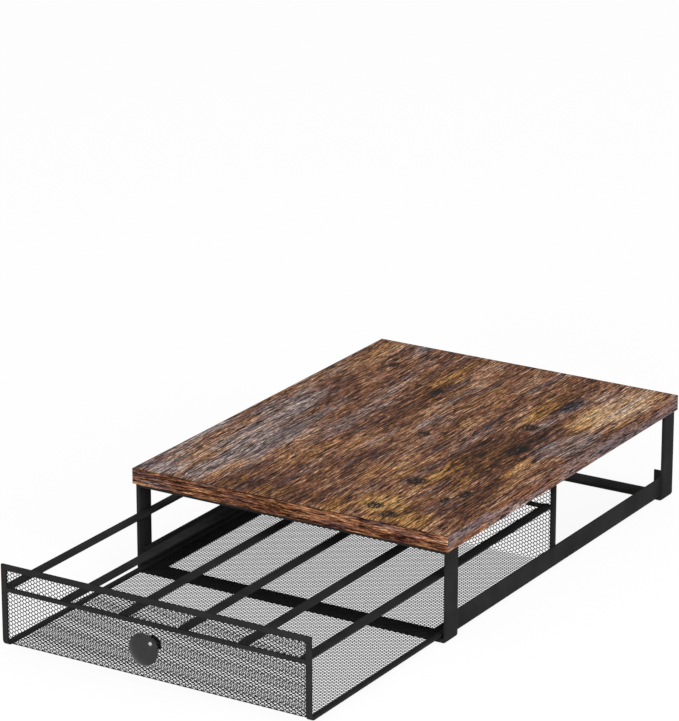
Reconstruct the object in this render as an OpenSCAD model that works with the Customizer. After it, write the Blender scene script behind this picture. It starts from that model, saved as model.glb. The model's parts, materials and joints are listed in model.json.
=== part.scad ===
// Coffee pod drawer: a wooden board on two flat-bar leg frames, with a mesh
// drawer that slides between them on two angle runners. Millimetres, Z up,
// the drawer opens towards -Y, and the origin is the centre of the footprint
// on the surface that the stand rests on.

/* [Board] */
// Width of the board, side to side
board_w = 282; // [260:1:340]
// Depth of the board, front to back
board_l = 376; // [370:1:420]
// Thickness of the board
board_t = 12.8; // [10:0.2:14]
// Thickness of the bands glued to the board's four edges
band_t = 0.8; // [0.5:0.1:2]

/* [Leg frames] */
// Height of the board's top face above the floor
stand_h = 87; // [86:0.5:110]
// Width of the flat bar
bar_w = 16; // [12:0.5:25]
// Thickness of the flat bar
bar_t = 3; // [2.5:0.5:3.5]
// Set-back of the legs' outer faces from the board's sides
leg_side_inset = 1.6; // [0:0.2:6]
// Set-back of the leg frames from the board's front and rear edges
leg_end_inset = 3; // [0:0.5:6]
// Outer radius of the bend between a leg and its foot bar
foot_bend_r = 4; // [4:0.5:5]

/* [Runners] */
// Width of the runners' flanges, from the legs inwards
runner_w = 16; // [12:0.5:20]
// Height of the runners' webs above the foot bars
runner_h = 17.2; // [14:0.2:20]
// Thickness of the runners' sheet
runner_t = 1.2; // [1:0.1:1.5]
// Outer radius of the runners' bend
runner_bend_r = 1.8; // [1.6:0.1:3]
// Set-back of the runners' front ends behind the legs' front edges
runner_front_inset = 6.5; // [0:0.5:10]
// Width of the plates that stop the drawer at the rear
stop_w = 12.4; // [8:0.2:20]
// Height of the stop plates above the foot bar
stop_h = 17.2; // [12:0.2:24]

/* [Drawer] */
// Depth of the drawer, front to back
drawer_l = 361.5; // [330:0.5:362]
// Height of the drawer
drawer_h = 64.8; // [60:0.2:65]
// Distance from the board's front edge out to the drawer's open front face
drawer_open = 180.5; // [0:0.5:220]
// Gap between the drawer and each face that it slides along
slide_gap = 0.6; // [0.3:0.1:1]
// Thickness of the flat bars that the drawer's frame is made from
frame_t = 2.2; // [1.6:0.1:3]
// Width of the side frames' bar, side to side
frame_w = 4.5; // [3:0.5:6]
// Outer radius of the side frames' lower bends
frame_bend_r = 5; // [4.5:0.5:8]
// Height of the bars along the drawer's front and rear rims
rim_h = 4.6; // [3:0.2:6]
// Height of the bars under the strips' ends
mid_h = 3.4; // [2.4:0.2:5]

/* [Pod strips] */
// Height of the strips' upper faces above the drawer's underside
strip_z = 48; // [46:0.5:52]
// Width of a strip
strip_w = 9; // [5:0.5:12]
// Thickness of a strip
strip_t = 1.2; // [0.8:0.1:2]
// Distance between the middles of two strips, about one pod lid
strip_pitch = 51.6; // [50:0.1:51.8]

/* [Mesh] */
// Thickness of the mesh sheets
mesh_t = 0.5; // [0.4:0.1:1]
// Depth of the mesh's outer face behind the frame's outer faces
mesh_inset = 0.8; // [0.2:0.1:1]
// Width of a diamond cell, corner to corner
cell_w = 26; // [22:0.5:30]
// Height of a diamond cell, corner to corner
cell_h = 22; // [18:0.5:24]
// Width of the strands between the cells
strand_w = 2.2; // [1.5:0.1:3]
// Width of the plain edge where the mesh is welded to the frame
mesh_edge = 1; // [0.5:0.1:2]

/* [Knob] */
// How far the knob stands out in front of the drawer's face
knob_reach = 16.5; // [14:0.5:24]
// Height of the knob's axis above the drawer's underside
knob_z = 30.6; // [20:0.2:36]
// Diameter of the knob's head
knob_d = 25; // [20:0.5:30]
// Diameter of the knob's foot on the mesh
knob_foot_d = 14.2; // [13:0.2:16]
// Diameter of the knob's neck at its narrowest
knob_neck_d = 9.2; // [8:0.1:11]
// Radius of the rounding round the head
knob_rim_r = 1.6; // [1:0.1:3]

/* [Fasteners] */
// Diameter of the screws' shanks
screw_d = 4; // [3:0.5:4]
// Diameter of the screws' heads
screw_head_d = 8; // [7:0.5:8]
// Distance of the board screws from the middle of each crossbar
screw_x = 105; // [60:1:115]
// Diameter of the knob screw's washer
washer_d = 13; // [12:0.5:16]

/* [Hidden] */
$fn = 36;
eps = 0.01;                   // overshoot of a cut past the face that it opens

// Colours
paint = [0.16, 0.16, 0.16];
knob_black = [0.2, 0.2, 0.2];
plywood = [0.42, 0.27, 0.16];
band_brown = [0.5, 0.33, 0.22];
zinc = [0.7, 0.7, 0.68];

// Front and back: the origin is midway between the knob and the board's rear
total_l = knob_reach + drawer_open + board_l;
face_y = knob_reach - total_l / 2;
drawer_y1 = face_y + drawer_l;
board_y0 = face_y + drawer_open;
board_y1 = board_y0 + board_l;
front_leg_y = board_y0 + leg_end_inset;
rear_leg_y = board_y1 - leg_end_inset - bar_w;
runner_y0 = front_leg_y + runner_front_inset;
runner_y1 = rear_leg_y + bar_w;

// Heights
board_z = stand_h - board_t;
crossbar_z = board_z - bar_t;
flange_z = bar_t + runner_t;
drawer_z0 = flange_z + slide_gap;
drawer_z1 = drawer_z0 + drawer_h;
rim_z0 = drawer_z1 - rim_h;
mid_z1 = drawer_z0 + strip_z - strip_t;
mid_z0 = mid_z1 - mid_h;
mesh_z0 = drawer_z0 + mesh_inset;
knob_axis_z = drawer_z0 + knob_z;

// Half widths
leg_x = board_w / 2 - leg_side_inset;
leg_in_x = leg_x - bar_t;
web_in_x = leg_in_x - runner_t;
drawer_x = web_in_x - slide_gap;
window_x = drawer_x - frame_w;

// Board screws: countersunk, from below through the crossbars
screw_l = 11;                 // from the head's face to the tip
screw_head_h = (screw_head_d - screw_d) / 2;
pilot_d = screw_d - 0.6;      // the thread bites 0.3 mm into the board
pilot_depth = screw_l - bar_t + 0.5;
countersink_gap = 0.1;        // round the head and the shank in the crossbar
recess_l = 4.2;               // cross recess in the screw heads
recess_w = 0.9;
recess_depth = 1.1;

// Knob, measured along its axis from its foot on the mesh
knob_h = knob_reach + mesh_inset;
knob_crown = 1.3;             // rise of the domed face above its rounded rim
rim_r0 = knob_d / 2 - knob_rim_r;
rim_h0 = knob_h - knob_crown - knob_rim_r;
head_back_h = rim_h0 - knob_rim_r;
neck_r = 5;                   // radius of the hollow between foot and head
neck_h = head_back_h - neck_r;
// The dome passes through the crown and runs smoothly into the rim
rim_drop = knob_h - rim_h0;
dome_r = (rim_r0 ^ 2 + rim_drop ^ 2 - knob_rim_r ^ 2) / (2 * (rim_drop - knob_rim_r));
knob_screw_in = 9;            // depth of the screw in the knob
knob_bore_depth = knob_screw_in + 1;
thread_bite = 0.1;            // overlap of the screw and the knob's thread
pan_h = 2.4;                  // height of the pan head inside the drawer
washer_t = 1;
mesh_back_y = face_y + mesh_inset + mesh_t;

// Mesh: the diamonds leave strands of one width between them
cell_half = [cell_w, cell_h] / 2;
cell_keep = 1 - strand_w / 2 * norm(cell_half) / (cell_half.x * cell_half.y);
open_w = cell_w * cell_keep;
open_h = cell_h * cell_keep;
fold_r = frame_bend_r - mesh_inset;
fold_open_h = 4.2;            // height of the openings along a fold
lower_mesh_h = mid_z0 - mesh_z0 - fold_r;
upper_mesh_h = rim_z0 - mid_z1;
floor_mesh_l = drawer_l - 2 * frame_bend_r;

strip_l = drawer_l - 2 * (mesh_inset + mesh_t);

// ---- Shared shapes ----

// The quarter of a ring that lies right of and below its centre
module bend_outline(r, t) {
    intersection() {
        difference() {
            circle(r);
            circle(r - t);
        }
        translate([0, -r]) square(r);
    }
}

// A rectangle whose two lower corners are round
module trough_outline(l, h, r) {
    translate([0, r]) square([l, h - r]);
    translate([r, 0]) square([l - 2 * r, r]);
    for (x = [r, l - r]) translate([x, r]) circle(r);
}

// An outline in X and Z, made into a bar that runs from y0 to y1
module along_y(y0, y1) {
    translate([0, y1, 0]) rotate([90, 0, 0]) linear_extrude(y1 - y0) children();
}

// An outline in Y and Z, made into a bar that runs from x0 to x1
module along_x(x0, x1) {
    translate([x0, 0, 0]) rotate([90, 0, 90]) linear_extrude(x1 - x0) children();
}

// side is 1 for the right of the object and -1 for the left
module on_side(side) {
    if (side > 0) children();
    else mirror([1, 0, 0]) children();
}

// Something on the drawer's front, mirrored to its rear
module at_rear() {
    translate([0, face_y + drawer_y1, 0]) mirror([0, 1, 0]) children();
}

// A head recess for a cross-point driver, cut upwards from z = 0
module cross_recess() {
    for (turn = [0, 90])
        rotate(turn)
            translate([-recess_l / 2, -recess_w / 2, -eps])
                cube([recess_l, recess_w, recess_depth + eps]);
}

// ---- Board ----

module at_board_screws() {
    for (x = [-screw_x, screw_x], y = [front_leg_y, rear_leg_y])
        translate([x, y + bar_w / 2, crossbar_z]) children();
}

module top_board() {
    color(plywood)
        difference() {
            translate([band_t - board_w / 2, board_y0 + band_t, board_z])
                cube([board_w - 2 * band_t, board_l - 2 * band_t, board_t]);
            at_board_screws()
                translate([0, 0, bar_t - eps])
                    cylinder(d = pilot_d, h = pilot_depth + eps);
        }
}

module end_edge_band(y) {
    color(band_brown)
        translate([-board_w / 2, y, board_z]) cube([board_w, band_t, board_t]);
}

module side_edge_band(side) {
    color(band_brown)
        on_side(side)
            translate([board_w / 2 - band_t, board_y0 + band_t, board_z])
                cube([band_t, board_l - 2 * band_t, board_t]);
}

module board_screws() {
    color(zinc)
        at_board_screws()
            difference() {
                union() {
                    cylinder(d1 = screw_head_d, d2 = screw_d, h = screw_head_h);
                    cylinder(d = screw_d, h = screw_l);
                }
                cross_recess();
            }
}

// ---- Leg frames ----

// A leg stands on the bend that carries it round into the foot bar
module leg(side, y) {
    color(paint)
        on_side(side)
            along_y(y, y + bar_w) {
                translate([leg_in_x, foot_bend_r]) square([bar_t, board_z - foot_bend_r]);
                translate([leg_x - foot_bend_r, foot_bend_r]) bend_outline(foot_bend_r, bar_t);
            }
}

module foot_bar(y) {
    color(paint)
        translate([foot_bend_r - leg_x, y, 0])
            cube([2 * (leg_x - foot_bend_r), bar_w, bar_t]);
}

module crossbar(y) {
    color(paint)
        difference() {
            translate([-leg_in_x, y, crossbar_z]) cube([2 * leg_in_x, bar_w, bar_t]);
            at_board_screws() {
                translate([0, 0, -eps])
                    cylinder(d = screw_d + 2 * countersink_gap, h = bar_t + 2 * eps);
                translate([0, 0, -eps])
                    cylinder(d1 = screw_head_d + 2 * countersink_gap,
                        d2 = screw_d + 2 * countersink_gap, h = screw_head_h + eps);
            }
        }
}

// ---- Runners ----

module runner(side) {
    color(paint)
        on_side(side)
            along_y(runner_y0, runner_y1) {
                translate([web_in_x, bar_t + runner_bend_r])
                    square([runner_t, runner_h - runner_bend_r]);
                translate([leg_in_x - runner_w, bar_t])
                    square([runner_w - runner_bend_r, runner_t]);
                translate([leg_in_x - runner_bend_r, bar_t + runner_bend_r])
                    bend_outline(runner_bend_r, runner_t);
            }
}

module rear_stop(side) {
    color(paint)
        on_side(side)
            along_y(runner_y1 - runner_t, runner_y1)
                intersection() {
                    translate([web_in_x - stop_w, flange_z]) square([stop_w, stop_h - runner_t]);
                    translate([web_in_x - 2 * stop_w, flange_z])
                        trough_outline(2 * stop_w, stop_h, runner_bend_r - runner_t);
                }
}

// ---- Drawer frame ----

// One flat bar bent twice: front post, bottom rail and rear post
module side_frame(side) {
    color(paint)
        on_side(side)
            along_x(window_x, drawer_x)
                translate([face_y, drawer_z0])
                    difference() {
                        trough_outline(drawer_l, rim_z0 - drawer_z0, frame_bend_r);
                        translate([frame_t, frame_t])
                            trough_outline(drawer_l - 2 * frame_t, drawer_h, frame_bend_r - frame_t);
                    }
}

module rim_bar() {
    color(paint)
        translate([-drawer_x, face_y, rim_z0]) cube([2 * drawer_x, frame_t, rim_h]);
}

module mid_bar() {
    color(paint)
        translate([-window_x, face_y, mid_z0]) cube([2 * window_x, frame_t, mid_h]);
}

// Strips 1 to 6 lie on the two middle bars, and the outer two are notched
// round the posts
module pod_strip(number) {
    middle_x = (number - 3.5) * strip_pitch;
    color(paint)
        difference() {
            translate([middle_x - strip_w / 2, mesh_back_y, mid_z1])
                cube([strip_w, strip_l, strip_t]);
            for (side = [-1, 1], y = [face_y, drawer_y1 - frame_t])
                on_side(side) translate([window_x, y, mid_z1 - eps])
                    cube([frame_w, frame_t, strip_t + 2 * eps]);
        }
}

// ---- Drawer mesh ----

// The opening of one cell
module diamond(w, h) {
    polygon([[w / 2, 0], [0, h / 2], [-w / 2, 0], [0, -h / 2]]);
}

// A sheet w wide, centred on X, and h high, with a cell at [0, cell_y]. Cells
// run on past the plain edge, which cuts them off, where enough of them shows.
module mesh_outline(w, h, cell_y) {
    reach_x = w / 2 - mesh_edge + open_w / 3;
    rows_down = floor((cell_y - mesh_edge + open_h / 3) / cell_half.y);
    rows_up = floor((h - mesh_edge - cell_y + open_h / 3) / cell_half.y);
    columns = floor(reach_x / cell_w) + 1;
    difference() {
        translate([-w / 2, 0]) square([w, h]);
        intersection() {
            translate([mesh_edge - w / 2, mesh_edge])
                square([w - 2 * mesh_edge, h - 2 * mesh_edge]);
            for (row = [-rows_down:rows_up], column = [-columns:columns]) {
                x = (column + abs(row % 2) / 2) * cell_w;
                if (abs(x) < reach_x)
                    translate([x, cell_y + row * cell_half.y]) diamond(open_w, open_h);
            }
        }
    }
}

module upright_mesh(z, h, cell_y) {
    color(paint)
        translate([0, 0, z])
            along_y(face_y + mesh_inset, mesh_back_y)
                mesh_outline(2 * window_x, h, cell_y);
}

module upper_mesh() {
    upright_mesh(mid_z1, upper_mesh_h, upper_mesh_h / 2);
}

// The sheet's fold from upright to floor, with a row of openings cut at 45
// degrees through the middle of the bend
module mesh_fold() {
    columns = floor((window_x - mesh_edge) / cell_w - 0.5);
    color(paint)
        difference() {
            along_x(-window_x, window_x)
                translate([face_y + frame_bend_r, mesh_z0 + fold_r])
                    mirror([1, 0]) bend_outline(fold_r, mesh_t);
            for (column = [-columns - 1:columns])
                translate([(column + 0.5) * cell_w, face_y + frame_bend_r, mesh_z0 + fold_r])
                    rotate([135, 0, 0])
                        translate([0, 0, fold_r / 2])
                            linear_extrude(fold_r) diamond(open_w, fold_open_h);
        }
}

module lower_mesh() {
    upright_mesh(mesh_z0 + fold_r, lower_mesh_h, knob_axis_z - mesh_z0 - fold_r);
    mesh_fold();
}

module floor_mesh() {
    color(paint)
        translate([0, face_y + frame_bend_r, mesh_z0])
            linear_extrude(mesh_t)
                mesh_outline(2 * window_x, floor_mesh_l, floor_mesh_l / 2);
}

// ---- Knob ----

// Radius across, height along the axis from the foot on the mesh
module knob_outline() {
    difference() {
        union() {
            square([knob_foot_d / 2, neck_h]);
            translate([0, neck_h]) square([neck_r + knob_neck_d / 2, neck_r]);
        }
        translate([neck_r + knob_neck_d / 2, neck_h]) circle(neck_r);
    }
    translate([0, head_back_h]) square([rim_r0, knob_rim_r]);
    translate([rim_r0, rim_h0]) circle(knob_rim_r);
    intersection() {
        translate([0, knob_h - dome_r]) circle(dome_r, $fn = 144);
        translate([0, rim_h0]) square([rim_r0, knob_h]);
    }
}

// Something that stands along the knob's axis, with z = 0 on a face at y
module on_knob_axis(y) {
    translate([0, y, knob_axis_z]) rotate([90, 0, 0]) children();
}

module knob() {
    color(knob_black)
        on_knob_axis(face_y + mesh_inset)
            difference() {
                rotate_extrude() knob_outline();
                translate([0, 0, -eps])
                    cylinder(d = screw_d - 2 * thread_bite, h = knob_bore_depth + eps);
            }
}

module knob_screw() {
    color(zinc)
        on_knob_axis(mesh_back_y + washer_t + pan_h)
            difference() {
                union() {
                    cylinder(d = screw_head_d, h = pan_h);
                    cylinder(d = screw_d, h = pan_h + washer_t + mesh_t + knob_screw_in);
                }
                cross_recess();
            }
}

module knob_washer() {
    color(zinc)
        on_knob_axis(mesh_back_y + washer_t)
            difference() {
                cylinder(d = washer_d, h = washer_t);
                translate([0, 0, -eps])
                    cylinder(d = screw_d + 2 * countersink_gap, h = washer_t + 2 * eps);
            }
}

top_board();
end_edge_band(board_y0);  // front_edge_band
end_edge_band(board_y1 - band_t);  // rear_edge_band
side_edge_band(-1);  // left_edge_band
side_edge_band(1);  // right_edge_band
leg(-1, front_leg_y);  // front_left_leg
leg(1, front_leg_y);  // front_right_leg
leg(-1, rear_leg_y);  // rear_left_leg
leg(1, rear_leg_y);  // rear_right_leg
foot_bar(front_leg_y);  // front_foot_bar
foot_bar(rear_leg_y);  // rear_foot_bar
crossbar(front_leg_y);  // front_crossbar
crossbar(rear_leg_y);  // rear_crossbar
board_screws();
runner(-1);  // left_runner
runner(1);  // right_runner
rear_stop(-1);  // left_rear_stop
rear_stop(1);  // right_rear_stop
side_frame(-1);  // left_side_frame
side_frame(1);  // right_side_frame
rim_bar();  // front_rim_bar
at_rear() rim_bar();  // rear_rim_bar
mid_bar();  // front_mid_bar
at_rear() mid_bar();  // rear_mid_bar
pod_strip(1);  // pod_strip_1
pod_strip(2);  // pod_strip_2
pod_strip(3);  // pod_strip_3
pod_strip(4);  // pod_strip_4
pod_strip(5);  // pod_strip_5
pod_strip(6);  // pod_strip_6
upper_mesh();  // front_upper_mesh
lower_mesh();  // front_lower_mesh
floor_mesh();
at_rear() lower_mesh();  // rear_lower_mesh
at_rear() upper_mesh();  // rear_upper_mesh
knob();
knob_screw();
knob_washer();
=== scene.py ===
# Coffee pod drawer: a laminated board on flat-bar legs, over a mesh drawer that
# slides on two angle runners. Metres, Z up, the drawer opens towards -Y.
import json
import math

import bpy
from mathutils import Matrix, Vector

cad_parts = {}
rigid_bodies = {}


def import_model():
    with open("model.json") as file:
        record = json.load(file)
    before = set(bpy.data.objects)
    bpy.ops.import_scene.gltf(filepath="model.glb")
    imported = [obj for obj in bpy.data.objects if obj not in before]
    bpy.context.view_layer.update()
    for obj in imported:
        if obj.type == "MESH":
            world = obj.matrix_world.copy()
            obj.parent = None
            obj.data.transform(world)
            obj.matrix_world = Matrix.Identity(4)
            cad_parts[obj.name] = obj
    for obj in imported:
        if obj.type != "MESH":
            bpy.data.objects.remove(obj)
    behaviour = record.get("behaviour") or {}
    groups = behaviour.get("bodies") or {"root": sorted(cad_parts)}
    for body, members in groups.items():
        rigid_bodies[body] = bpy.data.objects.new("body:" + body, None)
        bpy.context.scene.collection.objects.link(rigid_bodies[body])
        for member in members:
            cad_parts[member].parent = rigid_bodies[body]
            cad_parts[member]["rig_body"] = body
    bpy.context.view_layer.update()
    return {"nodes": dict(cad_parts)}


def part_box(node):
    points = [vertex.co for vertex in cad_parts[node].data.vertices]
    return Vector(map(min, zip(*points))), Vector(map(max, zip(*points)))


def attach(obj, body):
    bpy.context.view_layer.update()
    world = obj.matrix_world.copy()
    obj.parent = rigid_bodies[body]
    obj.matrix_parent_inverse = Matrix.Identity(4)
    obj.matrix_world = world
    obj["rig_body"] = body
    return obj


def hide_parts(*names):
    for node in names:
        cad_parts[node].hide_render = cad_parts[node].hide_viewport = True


mm = 0.001
sharpAngle = math.radians(40)       # edges sharper than this are eased
smoothAngle = math.radians(35)      # and faces that meet by less than this are shaded as one

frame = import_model()
nodeObjects = frame["nodes"]
print("packed model loaded,", len(nodeObjects), "nodes")


# Selecting and handing over

def deselectAll():
    if bpy.context.mode != "OBJECT":
        bpy.ops.object.mode_set(mode="OBJECT")
    bpy.ops.object.select_all(action="DESELECT")


def makeActive(piece):
    deselectAll()
    piece.select_set(True)
    bpy.context.view_layer.objects.active = piece


def editMesh(piece, pick="VERT"):
    makeActive(piece)
    bpy.ops.object.mode_set(mode="EDIT")
    bpy.ops.mesh.select_mode(type=pick)
    bpy.ops.mesh.select_all(action="DESELECT")


def middle(element, vertices):
    places = [vertices[i].co for i in element.vertices]
    return sum(places, places[0] * 0) / len(places)


def selectWhere(piece, kind, test):
    # kind is "vertices", "edges" or "polygons"; the test gets each one's middle
    bpy.ops.object.mode_set(mode="OBJECT")
    vertices = piece.data.vertices
    for element in getattr(piece.data, kind):
        place = element.co if kind == "vertices" else middle(element, vertices)
        element.select = bool(test(place))
    bpy.ops.object.mode_set(mode="EDIT")


def isNear(length, other, within):
    # within is in mm
    return abs(length - other) < within * mm


def addModifier(piece, kind, **settings):
    makeActive(piece)
    bpy.ops.object.modifier_add(type=kind)
    modifier = piece.modifiers[-1]
    for setting, value in settings.items():
        setattr(modifier, setting, value)
    bpy.ops.object.modifier_apply(modifier=modifier.name)


def settle(piece):
    # the place goes into the mesh, so that patterns stay where they are
    makeActive(piece)
    bpy.ops.object.transform_apply(location=True, rotation=True, scale=True)


def handOver(piece, material, *nodes):
    piece.data.materials.clear()
    piece.data.materials.append(material)
    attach(piece, nodeObjects[nodes[0]]["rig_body"])
    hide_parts(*nodes)


# Node graphs

def newMaterial(name):
    material = bpy.data.materials.new(name)
    material.use_nodes = True
    tree = material.node_tree
    return material, tree, tree.nodes["Principled BSDF"]


def put(tree, kind, inputs=None, **settings):
    made = tree.nodes.new("ShaderNode" + kind)
    for setting, value in settings.items():
        setattr(made, setting, value)
    for socket, value in (inputs or {}).items():
        if isinstance(value, bpy.types.NodeSocket):
            tree.links.new(value, made.inputs[socket])
        else:
            made.inputs[socket].default_value = value
    return made.outputs[0]


def ramp(tree, value, stops):
    out = put(tree, "ValToRGB", {0: value})
    colours = out.node.color_ramp.elements
    while len(colours) < len(stops):
        colours.new(0.5)
    for element, (place, colour) in zip(colours, stops):
        element.position = place
        element.color = (*colour, 1)
    return out


def fromScreen(red, green, blue):
    # a colour as a paint chart gives it, 0 to 255, for the shader
    return tuple((c / 255 / 12.92) if c < 10.3 else ((c / 255 + 0.055) / 1.055) ** 2.4
                 for c in (red, green, blue))


def noise(tree, place, across, along, detail=2, roughness=0.5, shift=0):
    # blotches this long in mm, along the grain (Y) and across it
    sized = put(tree, "Mapping", {"Vector": place, "Location": (shift, shift * 0.7, shift * 0.3),
                                  "Scale": (1 / (across * mm), 1 / (along * mm), 1 / (across * mm))})
    return put(tree, "TexNoise", {"Vector": sized, "Scale": 1, "Detail": detail, "Roughness": roughness})


def spread(tree, value, low, high, outLow=0, outHigh=1):
    return put(tree, "MapRange", {"Value": value, "From Min": low, "From Max": high,
                                  "To Min": outLow, "To Max": outHigh}, interpolation_type="SMOOTHSTEP")


def calculate(tree, operation, *values):
    return put(tree, "Math", dict(enumerate(values)), operation=operation)


def mixColour(tree, amount, first, second, blend="MIX"):
    made = put(tree, "Mix", {0: amount, 6: first, 7: second}, data_type="RGBA", blend_type=blend)
    return made.node.outputs[2]


# The printed wood. A layer of noise is how long its blotches are in mm, across and along the
# grain, then its detail, its roughness, and an offset that sets it apart from the others.
# Four numbers for what a layer does are two values of it and what comes out at each.
boardPrint = {
    "greyInk": [(0.0, (22, 18, 23)), (0.25, (70, 58, 61)), (0.5, (117, 99, 97)), (0.75, (158, 138, 132)),
                (1.0, (208, 192, 182))],
    "brownInk": [(0.0, (16, 8, 8)), (0.25, (73, 41, 31)), (0.5, (123, 79, 55)), (0.75, (170, 123, 90)),
                 (1.0, (222, 186, 150))],
    "ochreInk": [(0.0, (18, 11, 8)), (0.25, (80, 48, 25)), (0.5, (140, 93, 48)), (0.75, (190, 140, 80)),
                 (1.0, (230, 194, 134))],
    "slateInk": (58, 51, 66),
    "blackInk": (13, 10, 9),
    "greyToBrown": (0.1, 0.5),      # the warmth over which one ink gives way to the next
    "brownToOchre": (0.5, 0.95),
    # layers that lead the grain sideways, and by how many mm
    "bends": [(60, 150, 1, 0.5, 3.1, 14), (8, 60, 2, 0.5, 7.7, 1.8)],
    "raggedPatches": (5, 55, 3, 0.6, 13, 30),
    "frayedKnots": (1.8, 5, 2, 0.7, 97, 9),
    # layers that make the print lighter and darker, or warmer and greyer, and their strength
    "streaks": [(24, 120, 3, 0.50, 22, 0.80), (4.6, 85, 4, 0.55, 33, 0.85),
                (1.5, 40, 3, 0.60, 44, 1.45), (0.8, 11, 3, 0.70, 55, 2.30)],
    "tints": (12, 80, 4, 0.6, 91, 1.7),
    "slateStreaks": (5.5, 90, 2, 0.5, 57),
    "slateShare": (0.58, 0.7, 0, 0.55),
    "lines": (1.0, 18, 2, 0.6, 71),
    "lineShade": (0.39, 0.49, 0.10, 1.04),
    "lineRoughness": (0.3, 0.7, 0.72, 0.58),
    "fibres": (0.7, 5, 2, 0.7, 83),
    "fibreShade": (0.3, 0.72, 0.38, 2.0),
    "pores": (4, 14, 2, 0.6, 101),
    "poreShare": (0.70, 0.78, 0, 1),
    "flecks": (1.3, 5.0, 3, 0.7, 107),
    "fleckShare": (0.40, 0.46, 0, 1),
    "seam": (-0.8, -0.25, 1, 0.4),  # mm above the board's face, and the shade there
    "relief": 0.1,                  # mm
    "reliefStrength": 0.25,
    "specular": 0.06,
    # a mark is nothing at its outline and full from this share of the way out to it
    "patchEdge": 0.3,
    "knotEdge": 0.5,
    "crackEdge": 0.4,
    # x, y, half width and half length in mm, then how much lighter and how much warmer
    "patches": [
        (66, 205, 9, 62, 0.08, 0.45),
        (80, 217, 9, 26, -0.36, -0.2),
        (116, 228, 34, 84, 0.37, 0.16),
        (84, 68, 34, 98, -0.34, 0.36),
        (115, 66, 9, 34, 0.16, 0.6),
        (69, 36, 12, 46, 0.22, 0.55),
        (118, -6, 18, 70, -0.28, 0.25),
        (98, -72, 30, 26, 0.10, 0.5),
        (60, -52, 24, 26, 0.12, 0.5),
        (126, 134, 20, 48, 0.20, -0.3),
        (-10, -72, 78, 22, -0.16, 0.2),
        (-100, 20, 60, 150, 0.16, -0.3),
        (-126, -76, 20, 18, 0, -0.35),
        (-114, -14, 32, 56, 0.02, 0.24),
        (-40, 210, 30, 70, -0.10, 0.15),
        (10, 120, 26, 90, 0.08, -0.1),
    ],
    "knots": [(77, 153, 9, 10), (97, 104, 10, 11), (62, 1, 10, 11), (107, -5, 7, 11), (99, -24, 5, 9),
              (59, -61, 10, 10), (77, -72, 10, 9), (-31, 190, 7, 10), (-96, 232, 6, 9), (12, 96, 7, 9)],
    "crack": (120.7, 245, 0.5, 19),
}


def mark(tree, place, x, y, halfWidth, halfLength, soft):
    # 1 inside an oval on the board, falling to 0 at its edge
    oval = put(tree, "Mapping", {"Vector": place,
                                 "Location": (-x / halfWidth, -y / halfLength, 0),
                                 "Scale": (1 / (halfWidth * mm), 1 / (halfLength * mm), 0)})
    away = put(tree, "VectorMath", {0: oval}, operation="LENGTH").node.outputs[1]
    return spread(tree, away, 1, soft, 0, 1)


def sidewaysShift(tree, place, wander, amount):
    shifted = calculate(tree, "MULTIPLY_ADD", wander, amount * mm, -amount * mm / 2)
    move = put(tree, "CombineXYZ", {0: shifted})
    return put(tree, "VectorMath", {0: place, 1: move}, operation="ADD")


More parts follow.
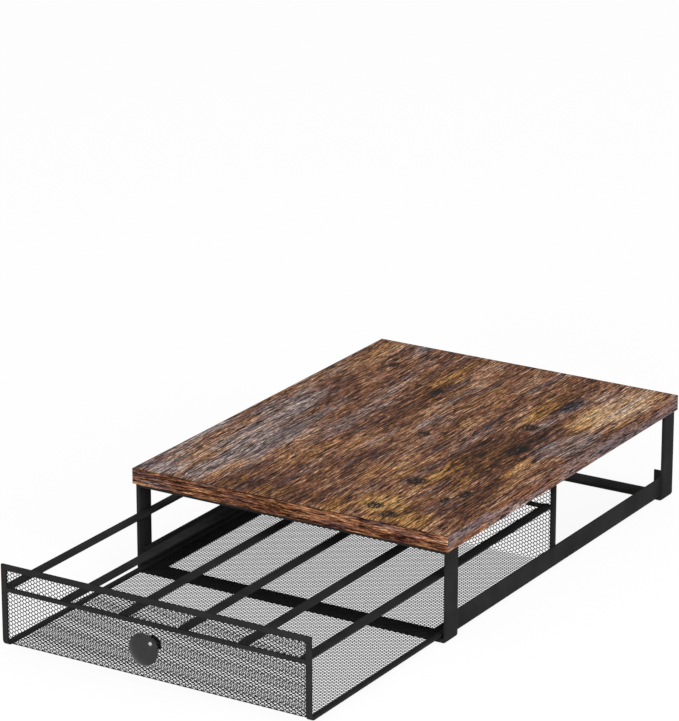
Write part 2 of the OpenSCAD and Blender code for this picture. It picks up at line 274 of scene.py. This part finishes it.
def laminate(name, turn=(0, 0, 0), shift=0, patches=(), knots=(), crack=None, lift=0.0, warmth=0.5,
             contrast=1.0, seamHeight=None):
    material, tree, shader = newMaterial(name)
    values = boardPrint
    printed = put(tree, "TexCoord").node.outputs["Object"]
    place = put(tree, "Mapping", {"Vector": printed, "Rotation": turn})

    def layerAt(where, across, along, detail, roughness, offset):
        return noise(tree, where, across, along, detail, roughness, shift + offset)

    def bent(where, bend):
        *layer, amount = bend
        return sidewaysShift(tree, where, layerAt(where, *layer), amount)

    grain = place
    for bend in values["bends"]:
        grain = bent(grain, bend)
    ragged = bent(grain, values["raggedPatches"])

    tone = 0.5 + lift - contrast * sum(streak[-1] for streak in values["streaks"]) / 2
    for *layer, strength in values["streaks"]:
        tone = calculate(tree, "MULTIPLY_ADD", layerAt(grain, *layer), strength * contrast, tone)
    *layer, strength = values["tints"]
    warm = calculate(tree, "MULTIPLY_ADD", layerAt(grain, *layer), strength, warmth - strength / 2)
    for x, y, halfWidth, halfLength, lighter, warmer in patches:
        here = mark(tree, ragged, x, y, halfWidth, halfLength, values["patchEdge"])
        tone = calculate(tree, "MULTIPLY_ADD", here, lighter, tone)
        warm = calculate(tree, "MULTIPLY_ADD", here, warmer, warm)

    inks = {}
    for ink in ("greyInk", "brownInk", "ochreInk"):
        inks[ink] = ramp(tree, tone, [(at, fromScreen(*colour)) for at, colour in values[ink]])
    colour = mixColour(tree, spread(tree, warm, *values["greyToBrown"]), inks["greyInk"], inks["brownInk"])
    colour = mixColour(tree, spread(tree, warm, *values["brownToOchre"]), colour, inks["ochreInk"])
    slateStreaks = spread(tree, layerAt(grain, *values["slateStreaks"]), *values["slateShare"])
    colour = mixColour(tree, slateStreaks, colour, (*fromScreen(*values["slateInk"]), 1))

    # dark lines and pale fibres, a millimetre and less
    lines = layerAt(grain, *values["lines"])
    darkLines = spread(tree, lines, *values["lineShade"])
    paleFibres = spread(tree, layerAt(grain, *values["fibres"]), *values["fibreShade"])
    shade = calculate(tree, "MULTIPLY", darkLines, paleFibres)
    if seamHeight:
        # the glue line along the top of a band
        height = put(tree, "SeparateXYZ", {0: printed}).node.outputs["Z"]
        low, high, below, above = values["seam"]
        seam = spread(tree, height, seamHeight + low * mm, seamHeight + high * mm, below, above)
        shade = calculate(tree, "MULTIPLY", shade, seam)
    inked = put(tree, "CombineColor", {0: shade, 1: shade, 2: shade})
    colour = mixColour(tree, 1.0, colour, inked, "MULTIPLY")

    frayed = bent(grain, values["frayedKnots"])
    holes = spread(tree, layerAt(frayed, *values["pores"]), *values["poreShare"])
    for knot in knots:
        holes = calculate(tree, "MAXIMUM", holes, mark(tree, frayed, *knot, values["knotEdge"]))
    flecks = spread(tree, layerAt(grain, *values["flecks"]), *values["fleckShare"])
    holes = calculate(tree, "MULTIPLY", holes, flecks)
    if crack:
        holes = calculate(tree, "MAXIMUM", holes, mark(tree, place, *crack, values["crackEdge"]))
    colour = mixColour(tree, holes, colour, (*fromScreen(*values["blackInk"]), 1))

    tree.links.new(colour, shader.inputs["Base Color"])
    tree.links.new(spread(tree, lines, *values["lineRoughness"]), shader.inputs["Roughness"])
    relief = put(tree, "Bump", {"Height": shade, "Strength": values["reliefStrength"],
                                "Distance": values["relief"] * mm})
    tree.links.new(relief, shader.inputs["Normal"])
    shader.inputs["Specular IOR Level"].default_value = values["specular"]
    return material


# Coatings. Peel, relief and patches are in mm.
coatings = {
    "powderCoat": {"colour": (0.0228, 0.0225, 0.0223), "roughness": (0.58, 0.72), "specular": 0.015,
                   "peel": 0.55, "relief": 0.035, "patch": 22},
    "meshCoat": {"colour": (0.0150, 0.0148, 0.0147), "roughness": (0.55, 0.68), "specular": 0.015,
                 "peel": 0.35, "relief": 0.02, "patch": 30},
    "knobCoat": {"colour": (0.0268, 0.0268, 0.0265), "roughness": (0.09, 0.12), "specular": 0.13,
                 "peel": 0.7, "relief": 0.003, "patch": 9},
}
coatSurface = {
    "shades": (0.86, 1.16),         # the darkest and the lightest, as shares of the colour
    "reliefStrength": 0.5,
}
zincPlating = {
    "dull": (0.46, 0.45, 0.42),
    "bright": (0.66, 0.66, 0.64),
    "roughness": (0.28, 0.45),
    "patch": 2.5,
    "peel": 0.3,
    "relief": 0.01,
    "reliefStrength": 0.3,
}
cloudRange = (0.3, 0.7)             # a cloudy noise mostly keeps between these


def finishCloud(tree, shader, cloud, colours, roughness):
    # two shades and two roughnesses, the brighter shade being the smoother
    tree.links.new(ramp(tree, cloud, list(zip(cloudRange, colours))), shader.inputs["Base Color"])
    smooth, rough = roughness
    tree.links.new(spread(tree, cloud, *cloudRange, rough, smooth), shader.inputs["Roughness"])


def finishPeel(tree, shader, peel, strength, relief):
    bump = put(tree, "Bump", {"Height": peel, "Strength": strength, "Distance": relief * mm})
    tree.links.new(bump, shader.inputs["Normal"])


def coating(name, values):
    material, tree, shader = newMaterial(name)
    place = put(tree, "TexCoord").node.outputs["Object"]
    peel = noise(tree, place, values["peel"], values["peel"], 2, 0.5)
    cloud = noise(tree, place, values["patch"], values["patch"], 3, 0.55, 5)
    shades = [tuple(c * share for c in values["colour"]) for share in coatSurface["shades"]]
    finishCloud(tree, shader, cloud, shades, values["roughness"])
    finishPeel(tree, shader, peel, coatSurface["reliefStrength"], values["relief"])
    shader.inputs["Specular IOR Level"].default_value = values["specular"]
    return material


def zincPlate(values):
    material, tree, shader = newMaterial("zincPlate")
    place = put(tree, "TexCoord").node.outputs["Object"]
    peel = noise(tree, place, values["peel"], values["peel"])
    cloud = noise(tree, place, values["patch"], values["patch"], 4, 0.6)
    finishCloud(tree, shader, cloud, (values["dull"], values["bright"]), values["roughness"])
    finishPeel(tree, shader, peel, values["reliefStrength"], values["relief"])
    shader.inputs["Metallic"].default_value = 1
    return material


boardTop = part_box("top_board")[1].z
topPrint = laminate("boardTopPrint", patches=boardPrint["patches"], knots=boardPrint["knots"],
                    crack=boardPrint["crack"])
frontBandPrint = laminate("frontBandPrint", turn=(0, 0, math.radians(90)), shift=130, lift=-0.06,
                          warmth=0.51, contrast=0.75, seamHeight=boardTop)
sideBandPrint = laminate("sideBandPrint", shift=270, warmth=0.26, contrast=0.45)
powderCoat = coating("powderCoat", coatings["powderCoat"])
meshCoat = coating("meshCoat", coatings["meshCoat"])
knobCoat = coating("knobCoat", coatings["knobCoat"])
zinc = zincPlate(zincPlating)
print("finishes made")


# The board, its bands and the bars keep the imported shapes, with their edges eased
copying = {
    "mergeWithin": 0.002,           # mm between corners that are the same one
    "flatWithin": 0.5,              # degrees between faces that are the same one
}


def easedCopy(node, ending):
    piece = bpy.data.objects.new(node + ending, nodeObjects[node].data.copy())
    bpy.context.scene.collection.objects.link(piece)
    editMesh(piece)
    bpy.ops.mesh.select_all(action="SELECT")
    bpy.ops.mesh.customdata_custom_splitnormals_clear()
    bpy.ops.mesh.remove_doubles(threshold=copying["mergeWithin"] * mm)
    bpy.ops.mesh.dissolve_limited(angle_limit=math.radians(copying["flatWithin"]))
    bpy.ops.object.mode_set(mode="OBJECT")
    return piece


def easeEdges(piece, width, segments=2):
    addModifier(piece, "BEVEL", width=width * mm, segments=segments, limit_method="ANGLE",
                angle_limit=sharpAngle, use_clamp_overlap=True, harden_normals=False)
    makeActive(piece)
    bpy.ops.object.shade_smooth_by_angle(angle=smoothAngle)


# how far each group's edges are eased, in mm, and its nodes
bars = {
    "legs and bars": (0.4, ["front_left_leg", "front_right_leg", "rear_left_leg", "rear_right_leg",
                            "front_foot_bar", "rear_foot_bar", "front_crossbar", "rear_crossbar"]),
    "runners": (0.25, ["left_runner", "right_runner", "left_rear_stop", "right_rear_stop"]),
    "drawer frame": (0.3, ["left_side_frame", "right_side_frame", "front_rim_bar", "rear_rim_bar",
                            "front_mid_bar", "rear_mid_bar"]),
    "pod strips": (0.25, ["pod_strip_%d" % number for number in range(1, 7)]),
}
for group, (easing, names) in bars.items():
    for name in names:
        bar = easedCopy(name, "_coated")
        easeEdges(bar, easing)
        handOver(bar, powderCoat, name)
    print(group, "coated")

boardEdges = {
    "core": 0.08,                   # mm
    "band": 0.5,
    "bandSegments": 3,
}
core = easedCopy("top_board", "_laminated")
easeEdges(core, boardEdges["core"], 1)
handOver(core, topPrint, "top_board")


def trimBand(node, isOuterEdge, material):
    band = easedCopy(node, "_trimmed")
    editMesh(band, "EDGE")
    selectWhere(band, "edges", isOuterEdge)
    bpy.ops.mesh.bevel(offset=boardEdges["band"] * mm, segments=boardEdges["bandSegments"],
                       affect="EDGES")
    bpy.ops.object.mode_set(mode="OBJECT")
    bpy.ops.object.shade_smooth_by_angle(angle=smoothAngle)
    handOver(band, material, node)


def atFace(axis, value):
    return lambda place: isNear(place[axis], value, 0.01)


trimBand("front_edge_band", atFace(1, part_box("front_edge_band")[0].y), frontBandPrint)
trimBand("rear_edge_band", atFace(1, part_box("rear_edge_band")[1].y), frontBandPrint)
trimBand("left_edge_band", atFace(0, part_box("left_edge_band")[0].x), sideBandPrint)
trimBand("right_edge_band", atFace(0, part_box("right_edge_band")[1].x), sideBandPrint)
print("board laminated")


# Fine expanded mesh: one cell is modelled, repeated, trimmed and folded
meshSheet = {
    "column": 2.6,        # from one column of cells to the next, which stands half a row higher
    "row": 3.08,          # from one cell to the next in a column
    "bond": 1.2,          # length of the level strands between the slanting ones
    "strand": 0.28,       # half the strands' width
    "bite": 0.3,          # how far the sheet reaches into the welds on the bars
    "slope": 0.25,        # how far the strands' sides slope inwards, as a share of the sheet
    "mergeWithin": 0.005,
    "foldStep": 0.02,     # rows of points closer than this are folded as one
    "floorPieces": 3,
}
columnStep, rowStep = meshSheet["column"] * mm, meshSheet["row"] * mm
bite = meshSheet["bite"] * mm
lowerLow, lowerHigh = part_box("front_lower_mesh")
upperLow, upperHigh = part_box("front_upper_mesh")
floorLow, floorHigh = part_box("floor_mesh")
sheetThick = floorHigh.z - floorLow.z
sheetHalfWidth = floorHigh.x + bite
sheetMiddleY = (floorLow.y + floorHigh.y) / 2
floorHalf = (floorHigh.y - floorLow.y) / 2
floorZ = (floorLow.z + floorHigh.z) / 2
foldRadius = floorLow.y - lowerLow.y - sheetThick / 2
foldZ = floorZ + foldRadius
foldLength = foldRadius * math.pi / 2


def openCell():
    # its six corners are the points that three neighbours share
    shoulder = meshSheet["bond"] / 2 * mm
    reach = columnStep - shoulder
    slope = sheetThick * meshSheet["slope"]
    deselectAll()
    bpy.ops.mesh.primitive_circle_add(vertices=6, radius=reach, fill_type="NGON",
                                      location=(0, 0, sheetThick / 2), rotation=(0, 0, math.radians(30)))
    cell = bpy.context.object
    settle(cell)
    editMesh(cell)
    selectWhere(cell, "vertices", lambda place: not isNear(place.y, 0, 0.1))
    bpy.ops.transform.resize(value=(2 * shoulder / reach, rowStep / reach / math.sqrt(3), 1),
                             center_override=(0, 0, 0))
    bpy.ops.mesh.select_mode(type="FACE")
    bpy.ops.mesh.select_all(action="SELECT")
    bpy.ops.mesh.inset(thickness=meshSheet["strand"] * mm, depth=-slope)
    bpy.ops.mesh.delete(type="FACE")
    bpy.ops.mesh.select_all(action="SELECT")
    bpy.ops.mesh.duplicate()
    bpy.ops.transform.resize(value=(1, 1, -1), center_override=(0, 0, 0))
    bpy.ops.mesh.flip_normals()
    bpy.ops.mesh.select_mode(type="EDGE")
    selectWhere(cell, "edges", lambda place: isNear(abs(place.z), sheetThick / 2 - slope, 0.001))
    bpy.ops.mesh.bridge_edge_loops()
    bpy.ops.mesh.select_all(action="SELECT")
    bpy.ops.mesh.normals_make_consistent(inside=False)
    bpy.ops.mesh.duplicate_move(TRANSFORM_OT_translate={"value": (columnStep, rowStep / 2, 0)})
    bpy.ops.object.mode_set(mode="OBJECT")
    return cell


cellPair = openCell()
print("mesh cell modelled,", len(cellPair.data.polygons) // 2, "faces")


def trim(piece, place, direction):
    bpy.ops.mesh.select_all(action="SELECT")
    bpy.ops.mesh.bisect(plane_co=place, plane_no=direction, clear_outer=True, use_fill=True)


def flatSheet(name, start, end):
    # start and end are measured along Y from the middle of the drawer's floor
    firstColumn = -2 * math.ceil(sheetHalfWidth / columnStep / 2)
    firstRow = math.floor(start / rowStep) - 1
    rows = math.ceil(end / rowStep) + 1 - firstRow
    sheet = bpy.data.objects.new(name, cellPair.data.copy())
    bpy.context.scene.collection.objects.link(sheet)
    sheet.location = (firstColumn * columnStep, sheetMiddleY + firstRow * rowStep, floorZ)
    settle(sheet)
    addModifier(sheet, "ARRAY", count=-firstColumn, use_relative_offset=False, use_constant_offset=True,
                constant_offset_displace=(2 * columnStep, 0, 0))
    addModifier(sheet, "ARRAY", count=rows, use_relative_offset=False, use_constant_offset=True,
                constant_offset_displace=(0, rowStep, 0))
    editMesh(sheet)
    bpy.ops.mesh.select_all(action="SELECT")
    bpy.ops.mesh.remove_doubles(threshold=meshSheet["mergeWithin"] * mm)
    for side in (-1, 1):
        trim(sheet, (side * sheetHalfWidth, 0, 0), (side, 0, 0))
    trim(sheet, (0, sheetMiddleY + start, 0), (0, -1, 0))
    trim(sheet, (0, sheetMiddleY + end, 0), (0, 1, 0))
    bpy.ops.object.mode_set(mode="OBJECT")
    bpy.ops.object.shade_smooth()
    return sheet


def foldUp(sheet):
    # what lies in front of the floor turns up round the fold, row by row
    step = meshSheet["foldStep"] * mm
    rows = {}
    for vertex in sheet.data.vertices:
        past = min(floorLow.y - vertex.co.y, foldLength)
        if past > 0:
            rows.setdefault(round(past / step), []).append(vertex.index)
    for row, indices in rows.items():
        distance = min(row * step, foldLength)
        editMesh(sheet)
        bpy.ops.object.mode_set(mode="OBJECT")
        for index in indices:
            sheet.data.vertices[index].select = True
        bpy.ops.object.mode_set(mode="EDIT")
        bpy.ops.transform.translate(value=(0, distance, 0))
        bpy.ops.transform.rotate(value=distance / foldRadius, orient_axis="X",
                                 center_override=(0, floorLow.y, foldZ))
    bpy.ops.object.mode_set(mode="OBJECT")


def rearCopy(sheet, name):
    copy = bpy.data.objects.new(name, sheet.data.copy())
    bpy.context.scene.collection.objects.link(copy)
    editMesh(copy)
    bpy.ops.mesh.select_all(action="SELECT")
    bpy.ops.transform.resize(value=(1, -1, 1), center_override=(0, sheetMiddleY, 0))
    bpy.ops.mesh.flip_normals()
    bpy.ops.object.mode_set(mode="OBJECT")
    return copy


uprightStart = floorHalf + foldLength - foldZ      # where the unrolled sheet would reach height 0
for part, low, high in (("lower", None, lowerHigh), ("upper", upperLow, upperHigh)):
    sheetStart = floorHalf if low is None else uprightStart + low.z - bite
    sheet = flatSheet("front_%s_mesh_fine" % part, -(uprightStart + high.z + bite), -sheetStart)
    foldUp(sheet)
    rear = rearCopy(sheet, "rear_%s_mesh_fine" % part)
    handOver(sheet, meshCoat, "front_%s_mesh" % part)
    handOver(rear, meshCoat, "rear_%s_mesh" % part)
    print("front and rear", part, "mesh:", len(sheet.data.polygons), "faces each")
pieceLength = 2 * floorHalf / meshSheet["floorPieces"]
for number in range(meshSheet["floorPieces"]):
    start = number * pieceLength - floorHalf
    sheet = flatSheet("floor_mesh_fine_%d" % (number + 1), start, start + pieceLength)
    handOver(sheet, meshCoat, "floor_mesh")
    print("floor mesh", number + 1, ":", len(sheet.data.polygons), "faces")
bpy.data.objects.remove(cellPair)


# The knob is built up ring by ring from the bore for its screw
knobShape = {
    "around": 72,         # vertices in a ring
    "bore": 1.9,          # radius for the screw's thread
    "boreDepth": 10,
    "foot": 5.7,          # the body widens from here to the head
    "hollow": 1.5,        # radius of the hollow behind the head
    "rimRound": 1.2,
    "crown": 3.4,         # rise of the domed face
    "footEase": 0.2,
    "hollowSteps": 6,
    "rimSteps": 9,
    "domeSteps": 10,
    "domeEnd": 89.2,      # degrees; the last ring is closed with one small face
}


def arcOfRings(along, out, radius, start, end, steps):
    # along the axis and out from it; the angle is 0 straight out and 90 straight forward
    turns = [math.radians(start + (end - start) * step / steps) for step in range(steps + 1)]
    return [(along + radius * math.sin(turn), out + radius * math.cos(turn)) for turn in turns]


def knobRings(shape, length, headRadius):
    ease, foot, hollow = shape["footEase"], shape["foot"], shape["hollow"]
    rimOut = headRadius - shape["rimRound"]
    rimAlong = length - shape["crown"] - shape["rimRound"]
    hollowAlong = rimAlong - shape["rimRound"] - hollow
    taper = math.degrees(math.atan2(rimOut - hollow - foot, hollowAlong))
    drop = length - rimAlong
    domeRadius = (rimOut ** 2 + drop ** 2 - shape["rimRound"] ** 2) / 2 / (drop - shape["rimRound"])
    domeStart = math.degrees(math.atan2(domeRadius - drop, rimOut))
    rings = [(shape["boreDepth"], shape["bore"]), (0, shape["bore"]), (0, foot - ease), (ease, foot)]
    rings += arcOfRings(hollowAlong, rimOut, hollow, -180 - taper, -270, shape["hollowSteps"])
    rings += arcOfRings(rimAlong, rimOut, shape["rimRound"], -90, domeStart, shape["rimSteps"])[1:]
    rings += arcOfRings(length - domeRadius, 0, domeRadius, domeStart, shape["domeEnd"],
                        shape["domeSteps"])[1:]
    return rings


def turnedPiece(name, rings, around, foot):
    deselectAll()
    forward, radius = rings[0]
    bpy.ops.mesh.primitive_circle_add(vertices=around, radius=radius * mm, fill_type="NGON",
                                      location=(foot[0], foot[1] - forward * mm, foot[2]),
                                      rotation=(math.radians(90), 0, 0))
    piece = bpy.context.object
    piece.name = name
    settle(piece)
    editMesh(piece, "FACE")
    bpy.ops.mesh.select_all(action="SELECT")
    for (before, narrow), (forward, radius) in zip(rings, rings[1:]):
        bpy.ops.mesh.extrude_region_move(TRANSFORM_OT_translate={"value": (0, (before - forward) * mm, 0)})
        bpy.ops.transform.resize(value=(radius / narrow, 1, radius / narrow), center_override=foot)
    bpy.ops.mesh.select_all(action="SELECT")
    bpy.ops.mesh.remove_doubles(threshold=0.001 * mm)
    bpy.ops.mesh.normals_make_consistent(inside=False)
    bpy.ops.object.mode_set(mode="OBJECT")
    bpy.ops.object.shade_smooth_by_angle(angle=smoothAngle)
    return piece


knobLow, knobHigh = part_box("knob")
knobFoot = (0, knobHigh.y, (knobLow.z + knobHigh.z) / 2)
knobProfile = knobRings(knobShape, (knobHigh.y - knobLow.y) / mm, (knobHigh.x - knobLow.x) / 2 / mm)
knob = turnedPiece("knob_turned", knobProfile, knobShape["around"], knobFoot)
handOver(knob, knobCoat, "knob")

fasteners = {"board_screws": 0.12, "knob_screw": 0.12, "knob_washer": 0.1}      # mm eased
for node, easing in fasteners.items():
    fastener = easedCopy(node, "_plated")
    easeEdges(fastener, easing, 1)
    handOver(fastener, zinc, node)
print("knob turned, fasteners plated")


# Camera, floor and light
cameraSetup = {
    "place": (1.4545, -2.3817, 1.11085),
    "pitch": 18.56,       # degrees below the horizon
    "turn": 31.544,
    "lens": 191.69,
    "film": 36,           # mm high
    "farthest": 60,       # metres
}


def addCamera(setup):
    deselectAll()
    bpy.ops.object.camera_add(location=setup["place"],
                              rotation=(math.radians(90 - setup["pitch"]), 0, math.radians(setup["turn"])))
    camera = bpy.context.object
    camera.data.sensor_fit = "VERTICAL"
    camera.data.sensor_height = setup["film"]
    camera.data.lens = setup["lens"]
    camera.data.clip_end = setup["farthest"]
    bpy.context.scene.camera = camera


studio = {
    "floor": 14,          # metres across
    "gap": 0.1,           # mm between the floor and the foot bars
    "floorGrey": 0.82,
    "floorWhite": 0.92,   # plain white in what the camera sees of the floor
    "floorShade": 0.13,   # and how much of the floor's own light and shadow
    "floorRoughness": 0.9,
    "sky": 0.5,
    "key": {"place": (0.5, -3.3, 0.75), "size": 0.7, "power": 66},
    "fill": {"place": (3.0, -0.4, 1.1), "size": 1.6, "power": 46},
}


def seenDirectly(tree):
    path = put(tree, "LightPath").node.outputs
    seen = calculate(tree, "MAXIMUM", path["Is Camera Ray"], path["Is Glossy Ray"])
    return calculate(tree, "MAXIMUM", seen, path["Is Transmission Ray"])


def addFloor(setup):
    deselectAll()
    bpy.ops.mesh.primitive_plane_add(size=setup["floor"], location=(0, 0, -setup["gap"] * mm))
    floor = bpy.context.object
    floor.name = "studio_floor"
    material, tree, shader = newMaterial("paleFloor")
    grey = setup["floorGrey"]
    shader.inputs["Base Color"].default_value = (grey, grey, grey, 1)
    shader.inputs["Roughness"].default_value = setup["floorRoughness"]
    shader.inputs["Specular IOR Level"].default_value = 0
    seen = seenDirectly(tree)
    dark = put(tree, "Emission", {"Strength": 0})
    share = calculate(tree, "MULTIPLY", seen, 1 - setup["floorShade"])
    shaded = put(tree, "MixShader", {0: share, 1: shader.outputs[0], 2: dark})
    white = calculate(tree, "MULTIPLY", seen, setup["floorWhite"])
    glow = put(tree, "Emission", {"Color": (1, 1, 1, 1), "Strength": white})
    lit = put(tree, "AddShader", {0: shaded, 1: glow})
    tree.links.new(lit, tree.nodes["Material Output"].inputs["Surface"])
    floor.data.materials.append(material)


def addSky(setup):
    world = bpy.data.worlds.new("studio")
    world.use_nodes = True
    bpy.context.scene.world = world
    tree = world.node_tree
    light = tree.nodes["Background"]
    light.inputs["Color"].default_value = (1, 1, 1, 1)
    strength = calculate(tree, "MULTIPLY_ADD", seenDirectly(tree), 1 - setup["sky"], setup["sky"])
    tree.links.new(strength, light.inputs["Strength"])


def addLamp(name, lamp):
    deselectAll()
    bpy.ops.object.light_add(type="AREA", location=lamp["place"])
    light = bpy.context.object
    light.name = name
    light.data.shape = "DISK"
    light.data.size = lamp["size"]
    light.data.energy = lamp["power"]
    light.rotation_euler = (-light.location).to_track_quat("-Z", "Y").to_euler()


addCamera(cameraSetup)
addFloor(studio)
addSky(studio)
addLamp("keyLamp", studio["key"])
addLamp("fillLamp", studio["fill"])
bpy.context.scene.view_settings.view_transform = "Standard"
print("studio set up")
